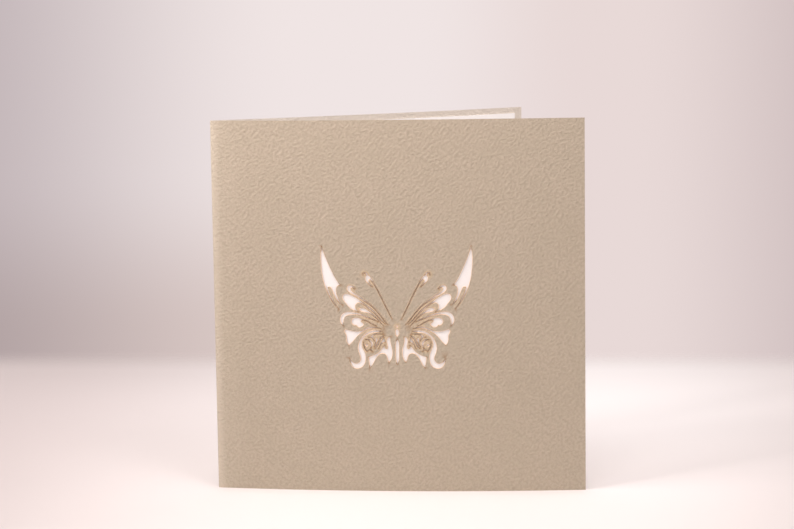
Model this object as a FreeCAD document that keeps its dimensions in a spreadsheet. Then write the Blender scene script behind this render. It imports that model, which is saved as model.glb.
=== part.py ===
# Pop-up greeting card: a folded card cover with a filigree butterfly window, a paper liner and a floating paper
# butterfly held off both pages by folded struts.
#
# Drawing frame: the fold runs up Z and its bend is centred on the origin. At the fold the front panel leaves along
# +X and the back panel leaves at the opening angle. Both panels bow by the same gentle arc, the front one outwards.
# Every sheet keeps to these arcs: its faces lie at fixed offsets from the panels' fold lines, counted outwards.
import FreeCAD, Part
import math
import os
import Sketcher

DRIVING_SIZES = (
    # alias, value in millimetres or degrees
    ("panel_width", 150.0),  # spine to free edge, along the sheet
    ("panel_height", 150.0),
    ("board_thickness", 0.4),
    ("fold_radius", 0.8),  # inside the cover's fold
    ("bow_radius", 614.0),
    ("opening_angle", 35.0),
    ("glue_gap", 0.1),
    ("liner_thickness", 0.2),
    ("liner_side_margin", 4.0),
    ("liner_end_margin", 2.5),
    ("window_from_spine", 74.7),
    ("window_height", 75.0),  # middle of the butterfly above the bottom edge
    ("window_half_span", 30.4),
    ("body_dot_radius", 0.45),
    ("popup_thickness", 0.25),
    ("popup_fold_radius", 0.3),
    ("popup_rise", 25.0),  # fold to fold, along the bisector of the opening
    ("popup_half_span", 52.0),
    ("popup_tallest", 90.0),
    ("popup_trim", 2.0),  # of the blank, beyond the wing tips
    ("strut_thickness", 0.2),
    ("strut_tab", 6.0),
    ("inner_strut_from_fold", 8.0),
    ("inner_strut_height", 18.0),
    ("outer_strut_from_fold", 25.0),
    ("outer_strut_height", 9.0),
    ("outer_strut_raise", 1.8),  # above the middle of the panel
)

# Outlines of one half of the window, in millimetres from its centre line and middle height, for the nominal half
# span. Each outline is its first corner, then smooth runs of points that each end at the next corner.
NOMINAL_HALF_SPAN = 30.4
WINDOW_HALF = {
    "forewing_blade": (
        ((29.95, 24.7),),
        ((30.4, 20.5), (30.25, 16), (29.65, 11.5), (28.5, 7.6), (26.5, 3.3), (23.4, -0.6)),
        ((24.6, 1.05), (26.25, 4), (27.2, 6.1), (27.8, 8.15)),
        ((27.1, 8.3), (26.5, 8.1)),
        ((25.7, 6.4), (24.8, 4.2), (23.6, 2.3), (21.8, 0.9)),
        ((23, 2.4), (24, 4.6), (24.45, 6.8), (24, 8.5), (22.7, 9)),
        ((24.3, 11.1), (26, 14.4), (27.6, 17.9), (28.9, 21.2), (29.95, 24.7)),
    ),
    "antenna": (
        ((1.85, -4.85),),
        ((3.6, -1.6), (5.6, 2.5), (7.6, 6.6), (9.6, 10), (10.6, 11.35)),
        ((11.05, 11.1), (11.15, 10.5)),
        ((10.5, 9.4), (9.7, 8.3)),
        ((10.45, 8.75), (11.3, 9.65), (12.3, 10.7), (12.6, 11.7), (12.15, 12.7)),
        ((12.3, 13.4), (12.7, 13.75), (13.15, 13.6), (13.4, 13.05)),
        ((13.45, 13.9), (12.7, 14.2), (11.85, 13.9), (11.6, 13)),
        ((10.9, 12.6), (9.2, 10.2), (7.25, 6.6), (5.3, 2.6), (3.3, -1.6), (1.85, -4.85)),
    ),
    "hook": (
        ((3.5, -7.1),),
        ((4.8, -5.8), (6.4, -3.8), (8.6, -1.1), (11.2, 1.3), (13.6, 2.8), (15.7, 4.2), (17.7, 5.3),
         (19.3, 6.3), (20, 7.6), (19.6, 8.6), (18.6, 8.95), (17.5, 8.5), (16.7, 7.55)),
        ((16.95, 7.4),),
        ((17.6, 7.95), (18.4, 7.9), (18.5, 7.3), (17.9, 6.4), (15.5, 4.85), (13.4, 3.3), (11, 1.6),
         (8.35, -0.8), (6.15, -3.6), (4.6, -5.6), (3.5, -7.1)),
    ),
    "leaf": (
        ((4.65, -6.7),),
        ((6.1, -5.1), (8.6, -2.25), (10.5, -0.4), (13.3, 1.6), (16.2, 3.7), (19.2, 5.25), (21.1, 5.35),
         (21.85, 4.1), (21, 2.2), (19.1, 0), (15.5, -1.8)),
        ((16.5, -0.7), (16.8, 0.5), (15.9, 1.8), (14.4, 1.65), (12, 0.05), (8.9, -2.55), (6.4, -5.3),
         (4.65, -6.7)),
    ),
    "inner_leaf": (
        ((5.3, -7.6),),
        ((6.6, -5.85), (7.9, -4.4), (10.1, -2.4), (12.2, -0.9), (14.2, -0.25), (15.25, -0.7), (14.3, -1.6),
         (12.4, -2), (10, -3.1), (8.15, -4.6), (6.85, -6.05), (5.3, -7.6)),
    ),
    "c_lobe": (
        ((7.7, -5.8),),
        ((8.7, -5.1), (11.2, -4), (14.6, -2.6), (18.3, -1.85), (21.3, -2.2), (22.85, -4.2), (22.7, -6.2),
         (21.65, -7.5)),
        ((21.6, -5.4), (20.8, -3.7), (18.6, -2.9), (15.1, -3.15), (11.6, -4.4), (8.8, -5.4), (7.7, -5.8)),
    ),
    "spot": (
        ((8.3, -7.5),),
        ((10, -6.5), (12.6, -5.15), (14.4, -4.65), (16.4, -4.15), (18, -4.7), (18.4, -5.9), (17.7, -7),
         (16.5, -7.1)),
        ((16, -7.7), (15.1, -8.05), (14, -7.6), (13.3, -6.85)),
        ((14.1, -6.2), (14.6, -5.65), (13.9, -5.25)),
        ((12.6, -5.5), (10.2, -6.75), (8.3, -7.5)),
    ),
    "fan": (
        ((6.4, -8.7),),
        ((8.2, -7.95), (10.2, -7.8), (12.4, -8.35), (14.2, -9.35), (16.1, -9.75), (18.6, -9.5), (20.8, -8.8)),
        ((21.25, -9.9), (20.65, -11.1), (20.5, -12.7), (19.5, -15.25)),
        ((18, -13.9), (16.2, -11.7), (14, -10), (11.4, -8.7), (9, -8.35), (6.4, -8.7)),
    ),
    "s_curve": (
        ((6, -9.7),),
        ((8, -9.25), (10.4, -9.45), (13, -10.8), (14.9, -13.1), (15.85, -16), (15.4, -18.7), (14.8, -21.1),
         (16, -22.65), (17.6, -22.6), (18.7, -21.75), (19.3, -20.7)),
        ((19.25, -21.8), (18.85, -22.9), (18, -24.25), (16.3, -24.8), (14, -23.9), (12.85, -21), (13.2, -18.3),
         (14.2, -16.1), (14.3, -14.2), (13.1, -11.9), (10.4, -10.4), (7.8, -10.05), (6, -9.7)),
    ),
    "branch": (
        ((11.5, -12.05),),
        ((10.6, -11.7), (10, -11.1), (9.1, -10.7), (7.6, -10.6), (5.7, -10.7)),
        ((7.6, -10.9), (8.9, -11.1), (9.55, -11.55), (9.7, -12)),
        ((9.4, -12.8), (9.2, -13.5)),
        ((9.6, -13.1), (10.1, -12.45), (10.7, -12.2), (11.5, -12.05)),
    ),
    "arc": (
        ((12.7, -13.05),),
        ((11.7, -12.85), (10.6, -13.4), (9.8, -14.5), (10, -15.7), (10.8, -16.6)),
        ((10.6, -15.5), (10.7, -14.5), (11.2, -13.7), (12.7, -13.05)),
    ),
    "bud": (
        ((9.4, -16),),
        ((9, -15.1), (8.8, -14.1), (8.75, -12.9), (8.3, -12.3), (7.9, -12.9), (8.1, -13.9), (8.5, -14.9),
         (9.4, -16)),
    ),
    "quill": (
        ((5.3, -11.3),),
        ((6.4, -11.9), (7.3, -12.9), (7.85, -14.2), (8.35, -15.4), (9.1, -16.7)),
        ((7.8, -15.4), (7.25, -14.1), (6.8, -13), (6.1, -12.2), (5.3, -11.3)),
    ),
    "wedge": (
        ((5.3, -12.1),),
        ((5.2, -13.1), (4.8, -14.05)),
        ((5.7, -14.3), (6.5, -15), (7.5, -16.7)),
        ((6.85, -14.9), (6.25, -13.6), (5.3, -12.1)),
    ),
    "crook": (
        ((13.6, -14.1),),
        ((13.55, -15.6), (12.9, -17.1), (12.15, -17.8)),
        ((11.3, -17.35), (10.1, -17.9)),
        ((11.3, -17.05), (12.1, -17.45), (12.65, -16.9), (13.3, -15.5), (13.6, -14.1)),
    ),
    "lower_wing": (
        ((2.8, -12),),
        ((2.8, -13.8), (2.15, -16.6), (2, -19.2), (3.4, -22.25)),
        ((4, -20.8), (4.7, -19.1), (6.1, -18.6), (7.7, -19.4), (9.6, -22.3), (11.2, -24.6)),
        ((11.4, -22.6), (11.75, -20.2)),
        ((9.4, -19.3), (7, -17.7), (6, -16.4), (5, -15.4)),
        ((5.05, -16.3), (4.5, -16.9), (3.9, -16.4)),
        ((4.05, -14.8), (4.25, -13.4), (3.8, -12.3), (2.8, -12)),
    ),
}
SWIRL_EYE = (12.3, -15.3)
SWIRL_EYE_RADIUS = 0.55
# The butterfly's body, on the centre line.
HEAD_DOT_HEIGHT = -7.6
THORAX = (
    ((0, -8.7),),
    ((0.6, -9.3), (0.72, -10.2), (0.5, -11.2), (0, -11.7)),
    ((-0.5, -11.2), (-0.72, -10.2), (-0.6, -9.3), (0, -8.7)),
)
ABDOMEN = (
    ((0, -12.85),),
    ((0.5, -13.8), (0.72, -17.5), (0.6, -21.5), (0, -23.2)),
    ((-0.6, -21.5), (-0.72, -17.5), (-0.5, -13.8), (0, -12.85)),
)

# One wing pair of the floating butterfly, from its fold and its middle height, for the nominal half span.
NOMINAL_POPUP_HALF_SPAN = 52.0
POPUP_OUTLINE = (
    ((-2, 17),),
    ((1.2, 17),),
    ((5, 25), (11, 31.5)),
    ((12.2, 30.6),),
    ((6.5, 24), (3, 16.2)),
    ((3.4, 11.5),),
    ((12, 21), (26, 34), (42, 41.5), (52, 41)),
    ((51, 33), (47, 22), (43.5, 12), (38, 3.5)),
    ((34.5, 1), (31, 0.2)),
    ((37.5, -4), (44, -12), (44.5, -23), (37, -33)),
    ((33.6, -35.5), (31.4, -41.6)),
    ((30, -41.6),),
    ((26.5, -35.5), (20, -32), (11, -24), (3.4, -13)),
    ((2.2, -20),),
    ((-2, -20),),
    ((-2, 17),),
)
POPUP_CELLS = (
    (
        ((15, 18),),
        ((24.5, 27), (35, 34.5), (46, 37.5)),
        ((40.5, 30), (31, 23.5), (15, 18)),
    ),
    (
        ((16, 11.5),),
        ((27, 15.5), (36, 20), (43, 26.5)),
        ((40.5, 15.5), (34.5, 9), (26, 8), (16, 11.5)),
    ),
    (
        ((16, -4.5),),
        ((24, -4), (33, -7), (39.5, -14.5)),
        ((36, -21.5), (27, -17.5), (16, -4.5)),
    ),
    (
        ((14.5, -15),),
        ((22, -19.5), (29, -25), (35, -28.5)),
        ((29, -31.5), (21, -27.5), (14.5, -15)),
    ),
)

# Lengths and angles that several pieces share, in the spreadsheet's own terms.
SPINE = "Sizes.fold_radius + Sizes.board_thickness"
COVER_REACH = f"Sizes.panel_width - ({SPINE})"
LINER_OUTSIDE = "Sizes.fold_radius - Sizes.glue_gap"
LINER_INSIDE = f"{LINER_OUTSIDE} - Sizes.liner_thickness"
PAGE = f"{LINER_INSIDE} - Sizes.glue_gap"  # what is glued to a page lies inside this offset
POPUP_OUTSIDE = "Sizes.popup_fold_radius + Sizes.popup_thickness"
POPUP_REACH = "Sizes.popup_half_span / cos(0.5deg * Sizes.opening_angle) + Sizes.popup_trim"
WINDOW_FROM_FOLD = f"Sizes.window_from_spine - ({SPINE})"

ORIGIN = (-1, 1)
VERTICAL_AXIS = -2
START, END, CENTRE = 1, 2, 3
UP = FreeCAD.Vector(0, 0, 1)
SPANS_PER_STRETCH = 2  # of a smooth run, so that no cut wall turns far

doc = FreeCAD.newDocument("popup_card")


def make_sheet():
    """The spreadsheet that holds the driving sizes."""
    table = doc.addObject("Spreadsheet::Sheet", "Sizes")
    for row, (alias, value) in enumerate(DRIVING_SIZES, start=1):
        table.set(f"A{row}", alias)
        table.set(f"B{row}", str(value))
        table.setAlias(f"B{row}", alias)
    doc.recompute()
    return table


sheet = make_sheet()


def value_of(expression):
    """The number that an expression in the sheet's terms has now, in millimetres or degrees."""
    result = sheet.evalExpression(expression)
    return float(getattr(result, "Value", result))


def arc_angle(length):
    """Expression for the angle that a length takes along the panels' bow."""
    return f"({length}) / Sizes.bow_radius * 180 / pi * 1deg"


def origin_plane(body, role):
    """One of a body's own origin planes."""
    return next(feature for feature in body.Origin.OriginFeatures if feature.Role == role)


def attach(sketch, body, role):
    sketch.AttachmentSupport = [(origin_plane(body, role), "")]
    sketch.MapMode = "FlatFace"


def bind(sketch, name, expression, *constraint):
    """Adds a dimension to a sketch and ties it to the sheet."""
    index = sketch.addConstraint(Sketcher.Constraint(*constraint, dimension_value(constraint, expression)))
    sketch.renameConstraint(index, name)
    sketch.setExpression(f"Constraints.{name}", expression)


def dimension_value(constraint, expression):
    value = value_of(expression)
    return math.radians(value) if constraint[0] == "Angle" else value


# ---------------------------------------------------------------- folded sheets


def arc(centre, radius, start, end):
    circle = Part.Circle(FreeCAD.Vector(*centre, 0), UP, radius)
    return Part.ArcOfCircle(circle, math.radians(start), math.radians(end))


def draw_folded_section(sketch, inside, outside, reach):
    """Section across the fold: two bowed panels joined by a rounded bend, between two offsets."""
    bow = value_of("Sizes.bow_radius")
    opening = value_of("Sizes.opening_angle")
    turn = value_of(arc_angle(reach))
    back_centre = (-bow * math.sin(math.radians(opening)), bow * math.cos(math.radians(opening)))
    faces = ((outside, "outside"), (inside, "inside"))
    front, bend, back = [], [], []
    for expression, name in faces:
        offset = value_of(expression)
        front.append(sketch.addGeometry(arc((0, bow), bow + offset, -90, turn - 90)))
        bend.append(sketch.addGeometry(arc((0, 0), offset, opening + 90, 270)))
        back.append(sketch.addGeometry(arc(back_centre, bow - offset, opening - 90, opening - 90 + turn)))
    for which, (expression, name) in enumerate(faces):
        sketch.addConstraint(Sketcher.Constraint("Coincident", bend[which], CENTRE, *ORIGIN))
        sketch.addConstraint(Sketcher.Constraint("Tangent", front[which], START, bend[which], END))
        sketch.addConstraint(Sketcher.Constraint("Tangent", back[which], START, bend[which], START))
        bind(sketch, f"{name}_offset", expression, "Radius", bend[which])
    sketch.addConstraint(Sketcher.Constraint("PointOnObject", front[0], CENTRE, VERTICAL_AXIS))
    bind(sketch, "front_bow", "Sizes.bow_radius", "DistanceY", *ORIGIN, front[0], CENTRE)
    back_across = "Sizes.bow_radius * sin(1deg * Sizes.opening_angle)"
    back_up = "Sizes.bow_radius * cos(1deg * Sizes.opening_angle)"
    bind(sketch, "back_bow_across", back_across, "DistanceX", back[0], CENTRE, *ORIGIN)
    bind(sketch, "back_bow_up", back_up, "DistanceY", *ORIGIN, back[0], CENTRE)
    for name, panel in (("front", front), ("back", back)):
        sketch.addConstraint(Sketcher.Constraint("Coincident", panel[0], CENTRE, panel[1], CENTRE))
        ends = [sketch.getPoint(edge, END) for edge in panel]
        edge = sketch.addGeometry(Part.LineSegment(*ends))
        sketch.addConstraint(Sketcher.Constraint("Coincident", edge, START, panel[0], END))
        sketch.addConstraint(Sketcher.Constraint("Coincident", edge, END, panel[1], END))
        sketch.addConstraint(Sketcher.Constraint("PointOnObject", panel[0], CENTRE, edge))
        bind(sketch, f"{name}_reach", arc_angle(reach), "Angle", panel[0])


def folded_sheet(name, inside, outside, reach, height):
    """A sheet folded once: its section padded up from the drawing plane."""
    body = doc.addObject("PartDesign::Body", name)
    section = body.newObject("Sketcher::SketchObject", f"{name}_section")
    attach(section, body, "XY_Plane")
    draw_folded_section(section, inside, outside, reach)
    pad = body.newObject("PartDesign::Pad", f"{name}_sheet")
    pad.Profile = section
    pad.setExpression("Length", height)
    doc.recompute()
    return body


# ---------------------------------------------------------------- cut outlines


def stretches_through(points):
    """A line between two points, or a smooth curve through more, cut into stretches of a few points each."""
    vectors = [FreeCAD.Vector(across, up, 0) for across, up in points]
    if len(vectors) == 2:
        return [Part.LineSegment(*vectors)]
    curve = Part.BSplineCurve()
    curve.interpolate(vectors)
    knots = curve.getKnots()
    stretches = []
    for start in range(0, len(knots) - 1, SPANS_PER_STRETCH):
        stretch = curve.copy()
        stretch.segment(knots[start], knots[min(start + SPANS_PER_STRETCH, len(knots) - 1)])
        stretches.append(stretch)
    return stretches


def draw_outline(sketch, outline, scale=1.0):
    """A closed outline from its corners and the smooth runs between them."""
    corner = outline[0][0]
    edges = []
    for run in outline[1:]:
        points = [(across * scale, up * scale) for across, up in (corner, *run)]
        edges += [sketch.addGeometry(stretch) for stretch in stretches_through(points)]
        corner = run[-1]
    for edge, following in zip(edges, edges[1:] + edges[:1]):
        sketch.addConstraint(Sketcher.Constraint("Coincident", edge, END, following, START))


def window_sketch(body, name):
    """A sketch on the chord of the front panel, centred on the window."""
    sketch = body.newObject("Sketcher::SketchObject", name)
    attach(sketch, body, "XZ_Plane")
    half_bow = arc_angle(f"({COVER_REACH}) / 2")
    sketch.AttachmentOffset = FreeCAD.Placement(FreeCAD.Vector(), FreeCAD.Rotation(FreeCAD.Vector(0, 1, 0), 1))
    sketch.setExpression("AttachmentOffset.Rotation.Angle", half_bow)
    sketch.setExpression("AttachmentOffset.Base.x", f"({WINDOW_FROM_FOLD}) * cos({half_bow})")
    sketch.setExpression("AttachmentOffset.Base.z", f"-({WINDOW_FROM_FOLD}) * sin({half_bow})")
    sketch.setExpression("AttachmentOffset.Base.y", "Sizes.window_height")
    return sketch


def cut_through_front(body, sketch, name):
    """Pockets outwards from the panel's chord, so that only the front panel is cut."""
    before = body.Shape.Volume
    pocket = body.newObject("PartDesign::Pocket", name)
    pocket.Profile = sketch
    pocket.Type = "ThroughAll"
    pocket.Reversed = True
    doc.recompute()
    if not body.Shape.Volume < before:
        raise RuntimeError(f"{name} cuts nothing")
    return pocket


def make_cover():
    """The card board cover with the butterfly window through its front panel."""
    body = folded_sheet("cover", "Sizes.fold_radius", SPINE, COVER_REACH, "Sizes.panel_height")
    scale = value_of("Sizes.window_half_span") / NOMINAL_HALF_SPAN
    wing = window_sketch(body, "window_wing")
    for outline in WINDOW_HALF.values():
        draw_outline(wing, outline, scale)
    eye = FreeCAD.Vector(SWIRL_EYE[0] * scale, SWIRL_EYE[1] * scale, 0)
    wing.addGeometry(Part.Circle(eye, UP, SWIRL_EYE_RADIUS * scale))
    pocket = cut_through_front(body, wing, "right_wing")
    mirrored = body.newObject("PartDesign::Mirrored", "left_wing")
    mirrored.Originals = [pocket]
    mirrored.MirrorPlane = (wing, ["V_Axis"])
    body.Tip = mirrored
    doc.recompute()
    middle = window_sketch(body, "window_body")
    for outline in (THORAX, ABDOMEN):
        draw_outline(middle, outline, scale)
    head = FreeCAD.Vector(0, HEAD_DOT_HEIGHT * scale, 0)
    dot = middle.addGeometry(Part.Circle(head, UP, value_of("Sizes.body_dot_radius")))
    bind(middle, "dot_radius", "Sizes.body_dot_radius", "Radius", dot)
    cut_through_front(body, middle, "butterfly_body")
    return body


def make_liner():
    """The paper glued inside both panels."""
    height = "Sizes.panel_height - 2 * Sizes.liner_end_margin"
    reach = f"{COVER_REACH} - Sizes.liner_side_margin"
    return folded_sheet("liner", LINER_INSIDE, LINER_OUTSIDE, reach, height)


def make_popup():
    """The floating butterfly: a folded sheet trimmed to the wings' outline."""
    blank = folded_sheet("popup_blank", "Sizes.popup_fold_radius", POPUP_OUTSIDE, POPUP_REACH,
                         "Sizes.popup_tallest")
    scale = value_of("Sizes.popup_half_span") / NOMINAL_POPUP_HALF_SPAN
    wings = doc.addObject("Sketcher::SketchObject", "popup_wings")
    for outline in (POPUP_OUTLINE, *POPUP_CELLS):
        draw_outline(wings, outline, scale)
    middle = value_of("Sizes.popup_tallest") / 2
    turn = value_of("Sizes.opening_angle") / 2 + value_of(arc_angle(f"({POPUP_REACH}) / 2"))
    upright = FreeCAD.Rotation(FreeCAD.Vector(1, 0, 0), 90)
    wings.Placement = FreeCAD.Placement(FreeCAD.Vector(0, 0, middle), FreeCAD.Rotation(UP, turn) * upright)
    cutter = doc.addObject("Part::Extrusion", "popup_cutter")
    cutter.Base = wings
    cutter.DirMode = "Normal"
    cutter.Solid = True
    cutter.Symmetric = True
    cutter.setExpression("LengthFwd", "2 * Sizes.popup_half_span")
    popup = doc.addObject("Part::Common", "popup_butterfly")
    popup.Base = blank
    popup.Tool = cutter
    doc.recompute()
    return popup


# ---------------------------------------------------------------- struts


def draw_strut_section(sketch, web_angle, rise):
    """Section of a strut: page tab, sloping web and butterfly tab, folded from one strip.

    The page tab's face against the page ends at the origin; the web rises from there.
    """
    thickness = value_of("Sizes.strut_thickness")
    tab = value_of("Sizes.strut_tab")
    slope = math.radians(value_of(web_angle))
    mitre = -thickness * math.tan(slope / 2)
    top = value_of(rise)
    run = top / math.tan(slope)
    points = (
        (-tab, 0), (0, 0), (run, top), (run + tab, top),
        (run + tab, top + thickness), (run + mitre, top + thickness), (mitre, thickness), (-tab, thickness),
    )
    corners = [FreeCAD.Vector(*point, 0) for point in points]
    edges = [sketch.addGeometry(Part.LineSegment(here, corners[(index + 1) % len(corners)]))
             for index, here in enumerate(corners)]
    page_face, web_face, wing_lip, wing_end, wing_face, web_back, page_lip, page_end = edges
    for edge, following in zip(edges, edges[1:] + edges[:1]):
        sketch.addConstraint(Sketcher.Constraint("Coincident", edge, END, following, START))
    for edge in (page_face, wing_lip, wing_face, page_lip):
        sketch.addConstraint(Sketcher.Constraint("Horizontal", edge))
    for edge in (wing_end, page_end):
        sketch.addConstraint(Sketcher.Constraint("Vertical", edge))
    sketch.addConstraint(Sketcher.Constraint("Parallel", web_face, web_back))
    sketch.addConstraint(Sketcher.Constraint("Coincident", web_face, START, *ORIGIN))
    bind(sketch, "page_tab", "Sizes.strut_tab", "Distance", page_face)
    bind(sketch, "wing_tab", "Sizes.strut_tab", "Distance", wing_lip)
    bind(sketch, "page_thickness", "Sizes.strut_thickness", "Distance", page_end)
    bind(sketch, "wing_thickness", "Sizes.strut_thickness", "Distance", wing_end)
    bind(sketch, "web_thickness", "Sizes.strut_thickness", "Distance", web_face, START, web_back)
    bind(sketch, "rise", rise, "DistanceY", web_face, START, web_face, END)
    bind(sketch, "web_angle", web_angle, "Angle", web_face)


def make_strut(name, from_fold, height, page):
    """A folded strip whose web follows the bisector of the opening, from one page to the butterfly."""
    toward_front = -1 if page == "front" else 1
    web_angle = f"1deg * Sizes.opening_angle / 2 + {toward_front} * {arc_angle(from_fold)}"
    rise = (f"Sizes.popup_rise * sin({web_angle}) - ({POPUP_OUTSIDE} + Sizes.glue_gap)"
            f" + ({PAGE}) - Sizes.strut_thickness")
    body = doc.addObject("PartDesign::Body", name)
    section = body.newObject("Sketcher::SketchObject", f"{name}_section")
    attach(section, body, "XY_Plane")
    draw_strut_section(section, web_angle, rise)
    pad = body.newObject("PartDesign::Pad", f"{name}_strip")
    pad.Profile = section
    pad.Midplane = True
    pad.setExpression("Length", height)
    doc.recompute()
    return body


# ---------------------------------------------------------------- assembly


def card_placement():
    """Sets the front panel's chord along X, with the card's box centred over the origin."""
    half_bow = math.radians(value_of(arc_angle(COVER_REACH))) / 2
    opening = math.radians(value_of("Sizes.opening_angle"))
    bow = value_of("Sizes.bow_radius")
    spine = value_of(SPINE)
    chord = 2 * bow * math.sin(half_bow)
    left = -spine
    right = chord + spine * math.sin(half_bow)
    near = bow * math.cos(half_bow) - bow - spine
    far = chord * math.sin(opening) + spine * math.cos(opening + half_bow)
    shift = FreeCAD.Vector(-(left + right) / 2, -(near + far) / 2, 0)
    return FreeCAD.Placement(shift, FreeCAD.Rotation(UP, -math.degrees(half_bow)))


def page_placement(from_fold, page):
    """A place on a page's inner face at a height, with X along the page and Y towards the other page."""
    turn = value_of(arc_angle(from_fold))
    bow = value_of("Sizes.bow_radius")
    offset = value_of(PAGE)
    along, across = math.sin(math.radians(turn)), math.cos(math.radians(turn))
    if page == "front":
        radius = bow + offset
        return FreeCAD.Placement(FreeCAD.Vector(radius * along, bow - radius * across, 0),
                                 FreeCAD.Rotation(UP, turn))
    radius = bow - offset
    flipped = FreeCAD.Rotation(UP, turn) * FreeCAD.Rotation(FreeCAD.Vector(1, 0, 0), 180)
    on_arc = FreeCAD.Placement(FreeCAD.Vector(radius * along, bow - radius * across, 0), flipped)
    opening = FreeCAD.Rotation(UP, value_of("Sizes.opening_angle"))
    return FreeCAD.Placement(FreeCAD.Vector(), opening) * on_arc


def raised(height):
    return FreeCAD.Placement(FreeCAD.Vector(0, 0, height), FreeCAD.Rotation())


def popup_placement():
    """Carries the butterfly along the bisector of the opening, to the middle of the panels' height."""
    direction = math.radians(value_of("Sizes.opening_angle") / 2)
    rise = value_of("Sizes.popup_rise")
    lift = (value_of("Sizes.panel_height") - value_of("Sizes.popup_tallest")) / 2
    return FreeCAD.Placement(FreeCAD.Vector(rise * math.cos(direction), rise * math.sin(direction), lift),
                             FreeCAD.Rotation())


def place(piece, *steps):
    placement = card_placement()
    for step in steps:
        placement = placement * step
    piece.Placement = placement
    return piece


def make_struts():
    """An inner and an outer strut on each page."""
    middle = value_of("Sizes.panel_height") / 2
    rows = (
        ("inner_strut", "Sizes.inner_strut_from_fold", "Sizes.inner_strut_height", middle),
        ("outer_strut", "Sizes.outer_strut_from_fold", "Sizes.outer_strut_height",
         middle + value_of("Sizes.outer_strut_raise")),
    )
    struts = []
    for name, from_fold, height, level in rows:
        for page in ("front", "back"):
            strut = make_strut(f"{name}_{page}", from_fold, height, page)
            struts.append(place(strut, raised(level), page_placement(from_fold, page)))
    return struts


def make_card():
    """Every sub-part, in place."""
    cover = place(make_cover())
    liner = place(make_liner(), raised(value_of("Sizes.liner_end_margin")))
    popup = place(make_popup(), popup_placement())
    return [cover, liner, popup, *make_struts()]


def check(pieces):
    """Stops on any failed object, and on any piece that isn't one sound solid."""
    for thing in doc.Objects:
        if "Invalid" in thing.State or "Error" in thing.State:
            raise RuntimeError(f"{thing.Name}: {thing.State}")
    for piece in pieces:
        if piece.Shape.isNull() or not piece.Shape.isValid() or len(piece.Shape.Solids) != 1:
            raise RuntimeError(f"{piece.Label} isn't one sound solid")


def write(pieces):
    os.makedirs("parts", exist_ok=True)
    for piece in pieces:
        piece.Shape.exportStep(f"parts/{piece.Label}.step")


card = make_card()
doc.recompute()
check(card)
write(card)
for sub_part in card:
    bounds = sub_part.Shape.BoundBox
    print(f"{sub_part.Label}: {sub_part.Shape.Volume:.1f} mm3, {bounds}")
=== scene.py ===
import math

import bpy
import numpy as np
from mathutils import Matrix, Vector
from mathutils.geometry import delaunay_2d_cdt


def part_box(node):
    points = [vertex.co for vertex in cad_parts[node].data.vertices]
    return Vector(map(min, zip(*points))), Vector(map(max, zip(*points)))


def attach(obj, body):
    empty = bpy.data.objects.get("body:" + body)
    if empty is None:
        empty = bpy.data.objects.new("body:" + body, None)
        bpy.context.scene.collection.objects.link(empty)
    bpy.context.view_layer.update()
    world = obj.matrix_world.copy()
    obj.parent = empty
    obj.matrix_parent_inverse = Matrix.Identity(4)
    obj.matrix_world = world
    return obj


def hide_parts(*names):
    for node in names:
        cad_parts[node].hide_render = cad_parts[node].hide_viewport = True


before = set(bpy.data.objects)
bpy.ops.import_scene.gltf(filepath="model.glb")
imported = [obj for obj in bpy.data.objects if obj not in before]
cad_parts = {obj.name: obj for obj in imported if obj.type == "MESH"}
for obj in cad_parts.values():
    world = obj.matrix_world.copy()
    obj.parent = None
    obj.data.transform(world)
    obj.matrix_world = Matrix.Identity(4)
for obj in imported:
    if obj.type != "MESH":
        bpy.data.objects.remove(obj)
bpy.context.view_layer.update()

# The folded sheet that the cover is made of, in metres.
BOARD = 0.0004
FOLD_RADIUS = 0.0008  # inside the fold
SPINE = FOLD_RADIUS + BOARD
PANEL = 0.150
REACH = PANEL - SPINE  # of a panel, from the end of the bend to its free edge
BOW = 0.614  # radius of both panels
OPENING = math.radians(35)
BEND = math.pi - OPENING  # the angle that the sheet turns at the fold
BEND_LENGTH = BEND * (FOLD_RADIUS + BOARD / 2)
TO_FRONT = math.radians(270)  # the direction from the bend's centre to where the front panel starts

# The cover's mesh.
GRID_STEP = 0.0025
BEND_STEPS = 24
OUTLINE_STEP = 0.00028
SCORCH_AND_SHADE_RINGS = (  # distance from the cut, and every so many of its points
    (0.00010, 1),
    (0.00022, 1),
    (0.00045, 2),
    (0.0009, 4),
    (0.0016, 6),
)
RING_CLEARANCE = 0.8  # a ring's point is dropped where a cut is nearer than this share of the ring's distance
CORNER_TURN = math.radians(38)
TIP_TURN = math.radians(75)
FRONT_FACING = -0.95  # the y of a face's normal is below this only on the front panel's outer side
FAR_FROM_CUT = 0.004  # distances to a cut stop here
ON_CUT = 1e-7
TINY_LENGTH, TINY_AREA = 1e-9, 1e-15
STRAY_LOOP = 4  # a loop with no more points than this isn't a cut
MILLIMETRES = 1000.0
WELD = 1e-6  # in millimetres
CHUNKS = 24  # that long tables of distances are worked out in, to spare memory

# How the laser marks the board: narrow cuts darken most, partly laser scorch and partly painted shade inside
# the narrow slits; tips get a dark spot, crowded cuts a warm haze.
NARROW_CUT, WIDE_CUT = 0.00038, 0.00085
OWN_EDGE = 3e-5  # a ray across a cut ignores what is nearer than this
WIDTH_SPREAD = 2  # points either side that share the narrowest width
BURN_SPOT = 0.00036
TAPER, TAPER_SHARE = 0.00012, 0.28  # how much a cut narrows towards the back: at most, and of its width
HAZE_REACH = 0.0018
HAZE_START, HAZE_FULL = 5, 17  # summed closeness of outline points


def link(thing):
    """The thing, once it is in the scene."""
    bpy.context.scene.collection.objects.link(thing)
    return thing


# ---------------------------------------------------------------- camera

LENS, SENSOR = 96.82, 36.0  # millimetres
CLIP = (0.01, 50)
CAMERA_PLACE = Vector((0.0750, -0.8880, 0.1974))
YAW, PITCH, ROLL = 5.08, -7.085, 0.79  # degrees, from level and facing along y


def turn_about(axis, degrees):
    return Matrix.Rotation(math.radians(degrees), 4, axis)


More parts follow.
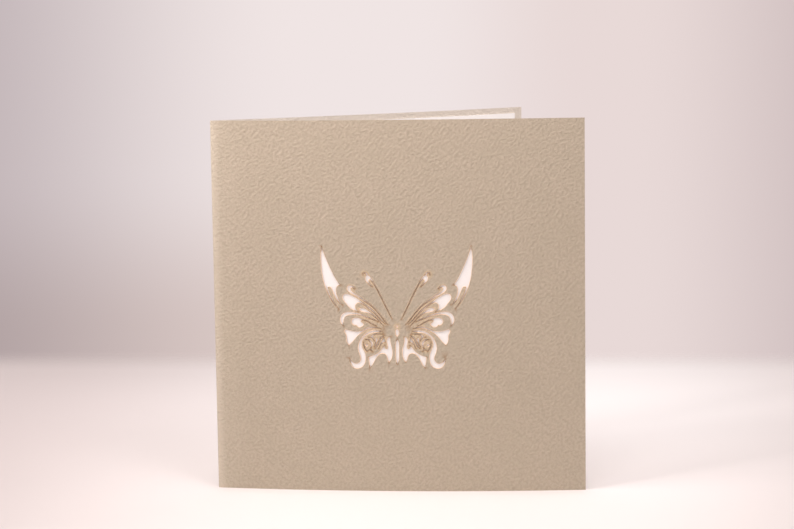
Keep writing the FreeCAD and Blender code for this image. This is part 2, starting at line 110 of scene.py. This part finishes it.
def make_camera():
    data = bpy.data.cameras.new("camera")
    data.lens = LENS
    data.sensor_width = SENSOR
    data.clip_start, data.clip_end = CLIP
    camera = link(bpy.data.objects.new("camera", data))
    upright = turn_about("X", 90)
    turn = turn_about("Z", YAW) @ turn_about("X", PITCH) @ turn_about("Y", ROLL) @ upright
    camera.matrix_world = Matrix.Translation(CAMERA_PLACE) @ turn
    bpy.context.scene.camera = camera


# ---------------------------------------------------------------- plane geometry


def turned(points, angle):
    """Plan points turned anticlockwise about the origin."""
    cosine, sine = math.cos(angle), math.sin(angle)
    return points @ np.array(((cosine, sine), (-sine, cosine)))


def cross(first, second):
    return first[..., 0] * second[..., 1] - first[..., 1] * second[..., 0]


def apart(points, places):
    """Distances between every point and every place."""
    return np.linalg.norm(points[:, None] - places[None], axis=2)


def smoothstep(value, low, high):
    t = np.clip((value - low) / (high - low), 0, 1)
    return t * t * (3 - 2 * t)


def hermite(t, here, leaving, there, arriving):
    """A point on the smooth curve between two points with the given directions."""
    return ((2 * t**3 - 3 * t**2 + 1) * here + (t**3 - 2 * t**2 + t) * leaving
            + (3 * t**2 - 2 * t**3) * there + (t**3 - t**2) * arriving)


# ---------------------------------------------------------------- the folded sheet


def bowed(angle, offset):
    """Plan points on a bowed panel, each by its angle round the bow and its offset outward."""
    return np.stack(((BOW + offset) * np.sin(angle), BOW - (BOW + offset) * np.cos(angle)), 1)


class FoldedSheet:
    """Maps flat places on the sheet, across from the fold (front positive) and up, to the folded card."""

    def __init__(self, low):
        half_bow = REACH / BOW / 2
        self.turn = -half_bow
        nearest = BOW * math.cos(half_bow) - BOW - SPINE
        self.fold = np.array((low.x + SPINE, low.y - nearest))

    def place(self, across, up, depth):
        """Points at a depth below the outer face."""
        offset = SPINE - depth
        angle = np.maximum(np.abs(across) - BEND_LENGTH / 2, 0) / BOW
        front = bowed(angle, offset)
        back = turned(bowed(angle, -offset), OPENING)
        within = np.clip(across / BEND_LENGTH, -0.5, 0.5)
        bend_angle = TO_FRONT - BEND * (0.5 - within)
        bend = offset * np.stack((np.cos(bend_angle), np.sin(bend_angle)), 1)
        in_bend = (np.abs(across) < BEND_LENGTH / 2)[:, None]
        plan = np.where(in_bend, bend, np.where((across > 0)[:, None], front, back))
        return np.column_stack((turned(plan, self.turn) + self.fold, up))

    def flatten_front(self, points):
        """The flat places of points on the front panel."""
        plan = turned(points[:, :2] - self.fold, -self.turn)
        angle = np.arctan2(plan[:, 0], BOW - plan[:, 1])
        return np.column_stack((BEND_LENGTH / 2 + angle * BOW, points[:, 2]))


# ---------------------------------------------------------------- the cut window


def boundary_loops(mesh, wanted):
    """Closed loops of the edges that only one of the wanted faces uses."""
    uses = {}
    for polygon in mesh.polygons:
        if wanted(polygon):
            corners = list(polygon.vertices)
            for start, end in zip(corners, corners[1:] + corners[:1]):
                uses.setdefault(frozenset((start, end)), []).append((start, end))
    following = {edge[0][0]: edge[0][1] for edge in uses.values() if len(edge) == 1}
    loops = []
    while following:
        start, here = following.popitem()
        loop = [start]
        while here != start:
            loop.append(here)
            here = following.pop(here)
        loops.append(np.array([mesh.vertices[index].co for index in loop]))
    return loops


def signed_area(outline):
    return cross(outline, np.roll(outline, -1, 0)).sum() / 2


def window_outlines(sheet):
    """The window's cut outlines, read off the CAD cover's outer front face and laid flat, anticlockwise."""
    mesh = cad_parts["cover"].data
    loops = boundary_loops(mesh, lambda polygon: polygon.normal.y < FRONT_FACING)
    flat = [sheet.flatten_front(loop) for loop in loops]
    cuts = [loop for loop in flat if np.ptp(loop, axis=0).max() < PANEL / 2 and len(loop) > STRAY_LOOP]
    return [loop if signed_area(loop) > 0 else loop[::-1] for loop in cuts]


def corner_turns(outline):
    """How far an outline turns at each of its points."""
    before = outline - np.roll(outline, 1, 0)
    after = np.roll(outline, -1, 0) - outline
    return np.abs(np.arctan2(cross(before, after), (before * after).sum(1)))


def outward(outline):
    """Unit directions away from the opening, at each point of an anticlockwise outline."""
    along = np.roll(outline, -1, 0) - np.roll(outline, 1, 0)
    side = np.column_stack((along[:, 1], -along[:, 0]))
    return side / np.maximum(np.linalg.norm(side, axis=1), TINY_LENGTH)[:, None]


def smooth_outline(points):
    """An outline sampled finely along smooth runs between its corners."""
    corner = corner_turns(points) > CORNER_TURN
    count = len(points)
    fine = []
    for index in range(count):
        here, there = points[index], points[(index + 1) % count]
        span = there - here
        leaving = span if corner[index] else (there - points[index - 1]) / 2
        arriving = span if corner[(index + 1) % count] else (points[(index + 2) % count] - here) / 2
        steps = max(1, round(np.linalg.norm(span) / OUTLINE_STEP))
        fine += [hermite(step / steps, here, leaving, there, arriving) for step in range(steps)]
    return np.array(fine)


def inside(points, outline):
    """Which points lie inside an outline."""
    start, end = outline, np.roll(outline, -1, 0)
    x, y = points[:, 0:1], points[:, 1:2]
    crosses = (start[:, 1] > y) != (end[:, 1] > y)
    with np.errstate(divide="ignore", invalid="ignore"):
        at = start[:, 0] + (y - start[:, 1]) / (end[:, 1] - start[:, 1]) * (end[:, 0] - start[:, 0])
    return (crosses & (x < at)).sum(1) % 2 == 1


def in_any(points, outlines):
    result = np.zeros(len(points), bool)
    for outline in outlines:
        low, high = outline.min(0), outline.max(0)
        near = np.all((points >= low) & (points <= high), axis=1)
        if near.any():
            result[np.flatnonzero(near)[inside(points[near], outline)]] = True
    return result


def nearest_cut(points, outlines):
    """Each point's distance to the nearest cut, and the number of the cut's point there, or -1 if far."""
    starts = np.concatenate(outlines)
    ends = np.concatenate([np.roll(outline, -1, 0) for outline in outlines])
    distance = np.full(len(points), FAR_FROM_CUT)
    nearest = np.full(len(points), -1)
    low, high = starts.min(0) - FAR_FROM_CUT, starts.max(0) + FAR_FROM_CUT
    span = ends - starts
    square = (span**2).sum(1)
    for index in np.flatnonzero(np.all((points > low) & (points < high), axis=1)):
        offset = points[index] - starts
        along = np.clip((offset * span).sum(1) / square, 0, 1)
        squared = ((offset - along[:, None] * span) ** 2).sum(1)
        closest = squared.argmin()
        if squared[closest] < FAR_FROM_CUT**2:
            distance[index] = math.sqrt(squared[closest])
            nearest[index] = closest
    return distance, nearest


# ---------------------------------------------------------------- the laser's marks, and painted shade in narrow cuts


def width_across(outline, point, ray):
    """How far a ray from a point of an outline runs before it meets the outline again."""
    span = np.roll(outline, -1, 0) - outline
    offset = outline - point
    area = cross(ray, span)
    area = np.where(np.abs(area) < TINY_AREA, TINY_AREA, area)
    reach = cross(offset, span) / area
    share = cross(offset, ray) / area
    hit = (share >= 0) & (share <= 1) & (reach > OWN_EDGE)
    return reach[hit].min() if hit.any() else WIDE_CUT


def cut_widths(outlines):
    """How wide each cut is at each of its outline's points, across the opening."""
    narrowest = []
    for outline in outlines:
        widths = [width_across(outline, point, ray) for point, ray in zip(outline, -outward(outline))]
        beside = [np.roll(widths, step) for step in range(-WIDTH_SPREAD, WIDTH_SPREAD + 1)]
        narrowest.append(np.minimum.reduce(beside))
    return np.concatenate(narrowest)


def narrowed(flat, outlines):
    """The board's inner face laid flat: a laser cut narrows a little towards the back."""
    cut = np.concatenate(outlines)
    inward = -np.concatenate([outward(outline) for outline in outlines])
    shift = np.minimum(TAPER, cut_widths(outlines) * TAPER_SHARE)
    inner = flat.copy()
    on_cut = np.flatnonzero(nearest_cut(flat, outlines)[0] < ON_CUT)
    for part in np.array_split(on_cut, CHUNKS):
        closest = apart(flat[part], cut).argmin(1)
        inner[part] += inward[closest] * shift[closest, None]
    return inner


def tips(outlines):
    """The sharp tips of the cuts."""
    return np.concatenate([outline[corner_turns(outline) > TIP_TURN] for outline in outlines])


def laser_marks(points, outlines):
    """For each flat point of the board: distance to a cut in mm, scorch with painted shade (stronger the
    narrower the cut), burn spot and haze.
    """
    distance, nearest = nearest_cut(points, outlines)
    narrow = 1 - smoothstep(cut_widths(outlines), NARROW_CUT, WIDE_CUT)
    # narrower cuts darken more: partly laser scorch, partly painted shade
    scorch_and_shade = np.where(nearest >= 0, narrow[nearest], 0)
    burn, haze = np.zeros(len(points)), np.zeros(len(points))
    cut, cut_tips = np.concatenate(outlines), tips(outlines)
    for part in np.array_split(np.flatnonzero(nearest >= 0), CHUNKS):
        burn[part] = np.exp(-((apart(points[part], cut_tips).min(1) / BURN_SPOT) ** 2))
        closeness = np.maximum(1 - apart(points[part], cut) / HAZE_REACH, 0).sum(1)
        haze[part] = smoothstep(closeness, HAZE_START, HAZE_FULL)
    return {"cut_distance": distance * MILLIMETRES, "scorch_and_shade": scorch_and_shade, "burn": burn, "haze": haze}


# ---------------------------------------------------------------- the cover


def scorch_and_shade_points(outlines):
    """Rings of points beside the cuts, which carry the fading of the scorch and its painted shade."""
    rings = []
    for ring, stride in SCORCH_AND_SHADE_RINGS:
        points = np.concatenate([(outline + outward(outline) * ring)[::stride] for outline in outlines])
        distance, _ = nearest_cut(points, outlines)
        rings.append(points[distance > ring * RING_CLEARANCE])
    points = np.concatenate(rings)
    return points[~in_any(points, outlines)]


def grid_points(outlines, height):
    """A regular grid over the flat sheet, finer across the bend, clear of the cuts."""
    half = BEND_LENGTH / 2
    panel = half + np.linspace(0, REACH, round(REACH / GRID_STEP) + 1)
    bend = np.linspace(-half, half, BEND_STEPS + 1)[1:-1]
    across = np.concatenate((-panel[::-1], bend, panel))
    up = np.linspace(0, height, round(height / GRID_STEP) + 1)
    grid = np.array(np.meshgrid(across, up)).reshape(2, -1).T
    clear = nearest_cut(grid, outlines)[0] > SCORCH_AND_SHADE_RINGS[-1][0]
    return grid[clear & ~in_any(grid, outlines)]


def outline_edges(outlines):
    """Each outline's edges, as numbers of points in the outlines put one after another."""
    edges, start = [], 0
    for outline in outlines:
        count = len(outline)
        edges += [(start + index, start + (index + 1) % count) for index in range(count)]
        start += count
    return edges


def flat_sheet(outlines, height):
    """The cut sheet laid flat: its points and its triangles, all anticlockwise."""
    points = np.concatenate((*outlines, grid_points(outlines, height), scorch_and_shade_points(outlines)))
    scaled = [Vector(point * MILLIMETRES) for point in points]
    flat, _, triangles, *_ = delaunay_2d_cdt(scaled, outline_edges(outlines), [], 0, WELD)
    flat = np.array([tuple(point) for point in flat]) / MILLIMETRES
    triangles = np.array(triangles)
    triangles = triangles[~in_any(flat[triangles].mean(1), outlines)]
    a, b, c = (flat[triangles[:, corner]] for corner in range(3))
    clockwise = cross(b - a, c - a) < 0
    triangles[clockwise] = triangles[clockwise][:, ::-1]
    used, renumbered = np.unique(triangles, return_inverse=True)
    return flat[used], renumbered.reshape(triangles.shape)


def border_edges(triangles):
    """Edges used by one triangle only, each in that triangle's direction."""
    edges = np.concatenate([triangles[:, [0, 1]], triangles[:, [1, 2]], triangles[:, [2, 0]]])
    keys = np.sort(edges, axis=1)
    _, first, counts = np.unique(keys, axis=0, return_index=True, return_counts=True)
    return edges[first[counts == 1]]


def sheet_mesh(sheet, flat, laid, triangles):
    """The folded sheet: its outer face, its inner face from the laid-out one, and the walls between them."""
    outer = sheet.place(flat[:, 0], flat[:, 1], 0.0)
    inner = sheet.place(laid[:, 0], laid[:, 1], BOARD)
    count = len(flat)
    border = border_edges(triangles)
    walls = np.column_stack((border[:, 1], border[:, 0], border[:, 0] + count, border[:, 1] + count))
    faces = triangles.tolist() + (triangles[:, ::-1] + count).tolist() + walls.tolist()
    mesh = bpy.data.meshes.new("cover_sheet")
    mesh.from_pydata(np.concatenate((outer, inner)).tolist(), [], faces)
    mesh.update()
    on_wall = np.zeros(len(faces))
    on_wall[-len(walls):] = 1
    mesh.attributes.new("cut_wall", "FLOAT", "FACE").data.foreach_set("value", on_wall)
    place = np.column_stack((np.tile(flat, (2, 1)), np.repeat((0.0, BOARD), count)))
    mesh.attributes.new("sheet_place", "FLOAT_VECTOR", "POINT").data.foreach_set("vector", place.ravel())
    return mesh


def make_cover(material):
    low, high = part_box("cover")
    sheet = FoldedSheet(low)
    outlines = [smooth_outline(outline) for outline in window_outlines(sheet)]
    flat, triangles = flat_sheet(outlines, high.z)
    mesh = sheet_mesh(sheet, flat, narrowed(flat, outlines), triangles)
    for name, values in laser_marks(flat, outlines).items():
        mesh.attributes.new(name, "FLOAT", "POINT").data.foreach_set("value", np.tile(values, 2))
    mesh.shade_smooth()
    mesh.set_sharp_from_angle(angle=CORNER_TURN)
    mesh.materials.append(material)
    cover = link(bpy.data.objects.new("cover_sheet", mesh))
    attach(cover, "root")
    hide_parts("cover")


# ---------------------------------------------------------------- shader nodes

NOISE_SPREAD = (0.3, 0.7)  # where most of a noise's values lie
MAIN_SHARE = 0.6


def new_material(name, roughness):
    material = bpy.data.materials.new(name)
    material.use_nodes = True
    tree = material.node_tree
    shader = tree.nodes["Principled BSDF"]
    shader.inputs["Roughness"].default_value = roughness
    return material, tree, shader


def node(tree, kind, **settings):
    made = tree.nodes.new(kind)
    for key, value in settings.items():
        setattr(made, key, value)
    return made


def attribute(tree, name, output="Fac"):
    return node(tree, "ShaderNodeAttribute", attribute_name=name).outputs[output]


def coordinates(tree, output="Object"):
    return node(tree, "ShaderNodeTexCoord").outputs[output]


def separated(tree, vector):
    made = node(tree, "ShaderNodeSeparateXYZ")
    tree.links.new(vector, made.inputs["Vector"])
    return made.outputs


def noise(tree, vector, size, detail=2.0, roughness=0.5):
    """Noise whose features are about the given size, in metres."""
    made = node(tree, "ShaderNodeTexNoise")
    tree.links.new(vector, made.inputs["Vector"])
    made.inputs["Scale"].default_value = 1 / size
    made.inputs["Detail"].default_value = detail
    made.inputs["Roughness"].default_value = roughness
    return made.outputs["Fac"]


def compute(tree, operation, first, second=None):
    made = node(tree, "ShaderNodeMath", operation=operation)
    for socket, value in zip(made.inputs, (first, second)):
        if isinstance(value, (int, float)):
            socket.default_value = value
        elif value is not None:
            tree.links.new(value, socket)
    return made.outputs["Value"]


def product(tree, *factors):
    result = factors[0]
    for factor in factors[1:]:
        result = compute(tree, "MULTIPLY", result, factor)
    return result


def ramp(tree, value, low, high, out_low=0.0, out_high=1.0):
    """A smooth change of a value from one level to another."""
    made = node(tree, "ShaderNodeMapRange", interpolation_type="SMOOTHSTEP")
    tree.links.new(value, made.inputs["Value"])
    for name, level in (("From Min", low), ("From Max", high), ("To Min", out_low), ("To Max", out_high)):
        made.inputs[name].default_value = level
    return made.outputs["Result"]


def blend(tree, factor, first, second):
    """A colour mix: each of the two is a colour or another node's output."""
    made = node(tree, "ShaderNodeMix", data_type="RGBA")
    tree.links.new(factor, made.inputs["Factor"])
    for socket, colour in ((made.inputs["A"], first), (made.inputs["B"], second)):
        if isinstance(colour, tuple):
            socket.default_value = colour
        else:
            tree.links.new(colour, socket)
    return made.outputs["Result"]


def bump(tree, height, distance):
    made = node(tree, "ShaderNodeBump")
    tree.links.new(height, made.inputs["Height"])
    made.inputs["Distance"].default_value = distance
    made.inputs["Strength"].default_value = 1.0
    return made.outputs["Normal"]


def together(tree, main, second, spread=NOISE_SPREAD):
    """Two noises added up, to a value from 0 to 1."""
    return compute(tree, "ADD", ramp(tree, main, *spread, 0, MAIN_SHARE),
                   ramp(tree, second, *spread, 0, 1 - MAIN_SHARE))


def patches(tree, place, size, least):
    """Soft patches of the given size, whose strength goes from the least up to 1."""
    return ramp(tree, noise(tree, place, size), *NOISE_SPREAD, least, 1)


# ---------------------------------------------------------------- card board

BOARD_ROUGHNESS, BOARD_SPECULAR = 0.75, 0.25
FELT_DIRECTION = math.radians(50)
FELT_LENGTH, FELT_WIDTH = 0.00122, 0.00102
FELT_DEPTH = 0.00046
CLOUD, FIBRE = 0.016, 0.0006
TONE_SPREAD = (0.25, 0.75)
BURN_PATCH, BURN_LEAST = 0.0012, 0.6
INNER_MARKS = 0.35  # how much of the laser's marks reach the board's inner face
RIM = (0.02, 0.15)  # millimetres from a cut: the rim's colour is full up to, and gone at
WALL_RIM = (0.01, 0.05)  # the same for the walls' colour, which keeps it off the sheet's own edges
FOLD_HIGHLIGHT_BANDS = (  # a painted highlight along the fold, with a little real wear at the crease: how far from the fold it is full, and gone, and how strong it is
    ((0.0008, 0.0045), 0.60),
    ((0.001, 0.016), 0.17),
)
INSIDE = (0.7 * BOARD, BOARD)  # the depth at which the outside's colour gives way to the inside's paler one, which is painted light

BOARD_COLOUR = (0.438, 0.371, 0.284, 1)
BOARD_LIGHT = (0.474, 0.395, 0.311, 1)
# Painted highlight along the fold, with a little real wear at the crease.
HIGHLIGHT_AND_WEAR_COLOUR = (0.560, 0.485, 0.390, 1)
# Painted light: the inner face is paler than the outer face, standing in for the light that falls on it.
BOARD_INSIDE_PAINTED_LIGHT = (0.70, 0.63, 0.55, 1)
# Painted shade: the felt's pits are darker in the colour, standing in for the shade that falls in them.
PIT_PAINTED_SHADE = 0.925
PAINTED_SHADE_IN_PITS = tuple(PIT_PAINTED_SHADE * level for level in BOARD_COLOUR[:3]) + (1,)
HAZE_COLOUR = (0.535, 0.412, 0.278, 1)
# Dark brown of laser scorch and burn spots, also painted shade along narrow cuts.
SCORCH_AND_SHADE_COLOUR = (0.275, 0.155, 0.073, 1)
RIM_COLOUR = (0.726, 0.550, 0.407, 1)
WALL_COLOUR = (0.92, 0.70, 0.54, 1)
# Darkened cut walls: laser scorch, and painted shade inside narrow cuts; also the pop-up paper's real singe.
WALL_SCORCH_AND_SHADE = (0.50, 0.31, 0.17, 1)


def felt_height(tree, place):
    """The board's felt mark: rounded bumps, slightly drawn out along a diagonal."""
    diagonal = node(tree, "ShaderNodeVectorRotate", rotation_type="Z_AXIS")
    tree.links.new(place, diagonal.inputs["Vector"])
    diagonal.inputs["Angle"].default_value = -FELT_DIRECTION
    stretched = node(tree, "ShaderNodeMapping")
    tree.links.new(diagonal.outputs["Vector"], stretched.inputs["Vector"])
    stretched.inputs["Scale"].default_value = (FELT_WIDTH / FELT_LENGTH, 1, 1)
    return noise(tree, stretched.outputs["Vector"], FELT_WIDTH, detail=1)


def board_colour(tree, place, height):
    """The board's colour: clouds and fibres, painted shade in the felt pits, a painted highlight at the fold
    with a little real wear, and a paler inside that is painted light.
    """
    clouds, fibres = (noise(tree, place, size, detail=3) for size in (CLOUD, FIBRE))
    tone = together(tree, clouds, fibres, TONE_SPREAD)
    colour = blend(tree, tone, BOARD_COLOUR, BOARD_LIGHT)
    # painted shade in the felt's pits
    colour = blend(tree, ramp(tree, height, *NOISE_SPREAD), PAINTED_SHADE_IN_PITS, colour)
    across, _, depth = separated(tree, place)
    from_fold = compute(tree, "ABSOLUTE", across)
    # painted highlight along the fold, with a little real wear at the crease
    highlight_and_wear = compute(tree, "ADD", *(ramp(tree, from_fold, *reach, strength, 0) for reach, strength in FOLD_HIGHLIGHT_BANDS))
    colour = blend(tree, highlight_and_wear, colour, HIGHLIGHT_AND_WEAR_COLOUR)
    # the inner face painted paler: painted light
    return blend(tree, ramp(tree, depth, *INSIDE), colour, BOARD_INSIDE_PAINTED_LIGHT)


def laser_marked(tree, place, colour):
    """The board's colour with the laser's haze, the cuts' rims, burn spots, and the cuts' walls; rims and
    walls of narrow cuts darken, partly scorch and partly painted shade.
    """
    _, _, depth = separated(tree, place)
    patchy = patches(tree, place, BURN_PATCH, BURN_LEAST)
    distance = attribute(tree, "cut_distance")
    scorch_and_shade = attribute(tree, "scorch_and_shade")
    outside = ramp(tree, depth, 0, BOARD, 1, INNER_MARKS)
    haze = product(tree, attribute(tree, "haze"), patchy, outside)
    colour = blend(tree, haze, colour, HAZE_COLOUR)
    rim = product(tree, ramp(tree, distance, *RIM, 1, 0), outside)
    # rims of narrow cuts darken: partly laser scorch, partly painted shade of the narrow slits
    colour = blend(tree, rim, colour, blend(tree, scorch_and_shade, RIM_COLOUR, SCORCH_AND_SHADE_COLOUR))
    spot = product(tree, attribute(tree, "burn"), patchy, outside)
    colour = blend(tree, spot, colour, SCORCH_AND_SHADE_COLOUR)
    # walls of narrow cuts darken: partly laser scorch, partly painted shade of the narrow slits
    wall = blend(tree, scorch_and_shade, WALL_COLOUR, WALL_SCORCH_AND_SHADE)
    on_wall = product(tree, attribute(tree, "cut_wall"), ramp(tree, distance, *WALL_RIM, 1, 0))
    return blend(tree, on_wall, colour, wall)


def card_board():
    material, tree, shader = new_material("card_board", BOARD_ROUGHNESS)
    shader.inputs["Specular IOR Level"].default_value = BOARD_SPECULAR
    place = attribute(tree, "sheet_place", "Vector")
    height = felt_height(tree, place)
    colour = laser_marked(tree, place, board_colour(tree, place, height))
    tree.links.new(colour, shader.inputs["Base Color"])
    tree.links.new(bump(tree, height, FELT_DEPTH), shader.inputs["Normal"])
    return material


# ---------------------------------------------------------------- papers

PAPER_ROUGHNESS, PAPER_SPECULAR = 0.8, 0.2
PAPER_CLOUD, PAPER_GRAIN = 0.012, 0.0004
PAPER_GRAIN_DEPTH = 0.00003
SINGE_PATCH, SINGE_LEAST = 0.002, 0.5
EDGE_NORMAL = (0.08, 0.3)  # a normal's upright share on a face, and on a cut edge

LINER = ((0.825, 0.800, 0.783, 1), (0.795, 0.770, 0.750, 1))  # light and shade
POPUP = ((0.90, 0.88, 0.86, 1), (0.86, 0.835, 0.81, 1))
STRUT = ((0.89, 0.87, 0.855, 1), (0.85, 0.83, 0.81, 1))
POPUP_SINGED = 0.8


def singed(tree, place, colour, strength):
    """A paper's colour with browned cut edges, whose normals point up or down."""
    upright = compute(tree, "ABSOLUTE", separated(tree, coordinates(tree, "Normal"))["Z"])
    edge = ramp(tree, upright, *EDGE_NORMAL, 0, strength)
    patchy = patches(tree, place, SINGE_PATCH, SINGE_LEAST)
    return blend(tree, product(tree, edge, patchy), colour, WALL_SCORCH_AND_SHADE)


def paper(name, colours, singeing=0.0):
    """Smooth paper with a faint fibre grain."""
    material, tree, shader = new_material(name, PAPER_ROUGHNESS)
    shader.inputs["Specular IOR Level"].default_value = PAPER_SPECULAR
    place = coordinates(tree)
    grain = noise(tree, place, PAPER_GRAIN, detail=3, roughness=0.6)
    tone = together(tree, grain, noise(tree, place, PAPER_CLOUD))
    light, shade = colours
    colour = blend(tree, tone, shade, light)
    if singeing:
        colour = singed(tree, place, colour, singeing)
    tree.links.new(colour, shader.inputs["Base Color"])
    tree.links.new(bump(tree, grain, PAPER_GRAIN_DEPTH), shader.inputs["Normal"])
    return material


def dress(name, material):
    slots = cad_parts[name].data.materials
    slots.clear()
    slots.append(material)


# ---------------------------------------------------------------- stage

TABLE_SIDE, TABLE_FRONT, TABLE_BACK = 12.0, -12.0, 0.31
TABLE_ROUGHNESS = 0.9
FADE = (0.232, 0.303)  # the y at which the table starts to fade into the backdrop, and is gone
# Painted light and shade on the table: its tones stand in for how the lamps fall on it.
LEFT_TO_RIGHT = (-0.20, 0.15)
NEAR_TO_FAR = (-0.10, 0.20)
MIDDLE = 0.03
SIDES_START, SIDES_END = (0.05, 0.26), (0.27, 0.45)  # how far from the middle their colour comes, and goes
SIDES_FRONT = (-0.35, -0.10)
NEAR = ((0.80, 0.755, 0.74, 1), (0.87, 0.815, 0.80, 1))  # at the left, and at the right
FAR = ((0.865, 0.82, 0.81, 1), (0.93, 0.90, 0.895, 1))
SIDES = ((0.56, 0.49, 0.48, 1), (0.73, 0.65, 0.64, 1))  # near, and far


def table_colour(tree, place):
    """A pale table with painted light and shade: lighter at the back and at the right, and darker off to both
    sides of the card.
    """
    x, y, _ = separated(tree, place)
    across, back = ramp(tree, x, *LEFT_TO_RIGHT), ramp(tree, y, *NEAR_TO_FAR)
    colour = blend(tree, back, blend(tree, across, *NEAR), blend(tree, across, *FAR))
    off_middle = compute(tree, "ABSOLUTE", compute(tree, "SUBTRACT", x, MIDDLE))
    aside = product(tree, ramp(tree, off_middle, *SIDES_START), ramp(tree, off_middle, *SIDES_END, 1, 0),
                    ramp(tree, y, *SIDES_FRONT))
    return blend(tree, aside, colour, blend(tree, back, *SIDES))


def make_table():
    mesh = bpy.data.meshes.new("table")
    corners = ((-TABLE_SIDE, TABLE_FRONT, 0), (TABLE_SIDE, TABLE_FRONT, 0),
               (TABLE_SIDE, TABLE_BACK, 0), (-TABLE_SIDE, TABLE_BACK, 0))
    mesh.from_pydata(corners, [], [(0, 1, 2, 3)])
    table = link(bpy.data.objects.new("table", mesh))
    material, tree, shader = new_material("table_top", TABLE_ROUGHNESS)
    place = coordinates(tree)
    tree.links.new(table_colour(tree, place), shader.inputs["Base Color"])
    tree.links.new(ramp(tree, separated(tree, place)["Y"], *FADE, 1, 0), shader.inputs["Alpha"])
    mesh.materials.append(material)


def linear_level(value):
    """A display level, 0 to 255, as a linear one."""
    value /= 255
    return value / 12.92 if value <= 0.04045 else ((value + 0.055) / 1.055) ** 2.4


def linear(red, green, blue):
    return (linear_level(red), linear_level(green), linear_level(blue), 1)


AMBIENT = (0.724, 0.678, 0.668, 1)  # the plain surround
BACKDROP = (-0.08, 0.99, -0.07)  # the direction of its middle
BACKDROP_END = (0.30, 0.55)  # how far from there it starts to give way to the plain surround, and is gone
# Painted light and shade on the backdrop: brightest behind the card, darker at its foot and to the sides.
WALL_FOOT = (-0.155, -0.075)  # the direction's z, where the wall's foot gives way to its upper part
TO_CENTRE, TO_RIGHT, TO_FAR_RIGHT = (-0.31, -0.13), (-0.08, 0.0), (0.02, 0.13)  # the same for its x
WALL_LEFT = (linear(173, 158, 159), linear(190, 177, 180))  # at its foot, and above
WALL_CENTRE = (linear(220, 203, 199), linear(240, 229, 228))
WALL_RIGHT = linear(232, 217, 215)
WALL_FAR_RIGHT = linear(206, 190, 190)


def backdrop(tree, direction):
    """The wall behind the table, with painted light and shade: brightest behind the card, darker at its foot
    and to the sides.
    """
    across, _, height = separated(tree, direction)
    up = ramp(tree, height, *WALL_FOOT)
    left, centre = blend(tree, up, *WALL_LEFT), blend(tree, up, *WALL_CENTRE)
    wall = blend(tree, ramp(tree, across, *TO_CENTRE), left, centre)
    wall = blend(tree, ramp(tree, across, *TO_RIGHT), wall, WALL_RIGHT)
    return blend(tree, ramp(tree, across, *TO_FAR_RIGHT), wall, WALL_FAR_RIGHT)


def make_world():
    world = bpy.data.worlds.new("studio")
    bpy.context.scene.world = world
    world.use_nodes = True
    tree = world.node_tree
    direction = coordinates(tree, "Generated")
    away = node(tree, "ShaderNodeVectorMath", operation="DISTANCE")
    tree.links.new(direction, away.inputs[0])
    away.inputs[1].default_value = BACKDROP
    beyond = ramp(tree, away.outputs["Value"], *BACKDROP_END)
    background = tree.nodes["Background"]
    tree.links.new(blend(tree, beyond, backdrop(tree, direction), AMBIENT), background.inputs["Color"])
    background.inputs["Strength"].default_value = 1.0


# ---------------------------------------------------------------- lights

LIGHT_COLOUR = (1, 0.93, 0.915)


def place_light(data, place, aim, energy):
    data.energy = energy
    data.color = LIGHT_COLOUR
    light = link(bpy.data.objects.new(data.name, data))
    light.location = place
    light.rotation_mode = "QUATERNION"
    light.rotation_quaternion = (Vector(aim) - Vector(place)).to_track_quat("-Z", "Y")
    light.visible_camera = False
    return light


def area_light(name, place, aim, size, energy):
    data = bpy.data.lights.new(name, "AREA")
    data.size = size
    place_light(data, place, aim, energy)


def spot_light(name, place, aim, radius, degrees, energy):
    data = bpy.data.lights.new(name, "SPOT")
    data.shadow_soft_size = radius
    data.spot_size = math.radians(degrees)
    data.spot_blend = 1.0
    return place_light(data, place, aim, energy)


def liner_only():
    """The liner, as the only thing that the page's own light falls on."""
    pieces = bpy.data.collections.new("liner_only")
    pieces.objects.link(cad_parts["liner"])
    return pieces


def make_lights():
    foot, front, middle = (0, 0, 0.05), (0.04, -0.04, 0.08), (-0.03, -0.04, 0.10)
    floor, page = (0.01, 0.08, 0), (0.03, 0.05, 0.145)
    spot_light("overhead", (0.01, -0.03, 1.30), floor, radius=0.10, degrees=26, energy=17.0)
    back_page = spot_light("back_page", (0.02, -0.032, 0.36), page, radius=0.03, degrees=50, energy=2.2)
    back_page.light_linking.receiver_collection = liner_only()
    area_light("left_side", (-0.50, -0.475, 0.53), foot, size=0.12, energy=1.6)
    area_light("right_front", (0.80, -0.80, 0.52), foot, size=0.6, energy=1.5)
    area_light("top_front", (0.05, -0.20, 0.36), front, size=0.1, energy=0.25)
    area_light("left_top", (-0.19, -0.13, 0.29), middle, size=0.12, energy=0.29)


# ---------------------------------------------------------------- the scene

make_cover(card_board())
dress("liner", paper("liner_paper", LINER))
dress("popup_butterfly", paper("popup_paper", POPUP, POPUP_SINGED))
strut_paper = paper("strut_paper", STRUT)
for strut in ("inner_strut_front", "inner_strut_back", "outer_strut_front", "outer_strut_back"):
    dress(strut, strut_paper)
make_camera()
make_table()
make_world()
make_lights()
bpy.context.scene.view_settings.view_transform = "Standard"
